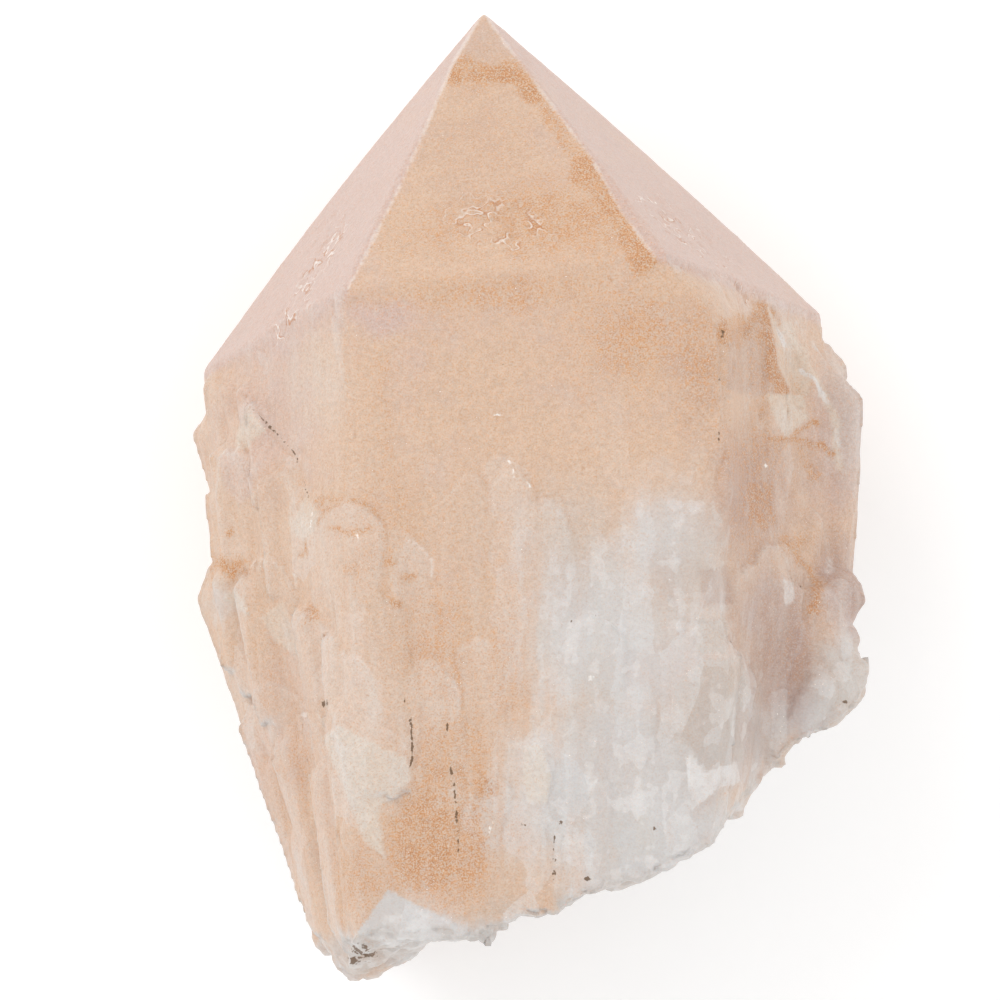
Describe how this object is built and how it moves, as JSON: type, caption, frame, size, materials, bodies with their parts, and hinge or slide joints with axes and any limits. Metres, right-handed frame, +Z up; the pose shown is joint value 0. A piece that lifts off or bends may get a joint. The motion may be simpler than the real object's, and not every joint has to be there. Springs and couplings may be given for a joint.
{
  "type": "pineapple quartz point",
  "caption": "Free-standing natural quartz crystal with a six-sided point, a skirt of small parallel crystals and a broken foot, for display.",
  "frame": {"origin": "middle of the bounding box, at the bottom, on the surface that the stone lies on", "axes": "+Y along the crystal's long axis towards its point, +Z up from the surface it lies on and out of the front face, +X to the right of the front face"},
  "size_m": [0.0702, 0.1002, 0.0558],
  "materials": {
    "quartz": "satin, milky, with a thin sandy peach stain over white quartz"
  },
  "bodies": {
    "root": {"quartz_point": "quartz"}
  },
  "joints": []
}
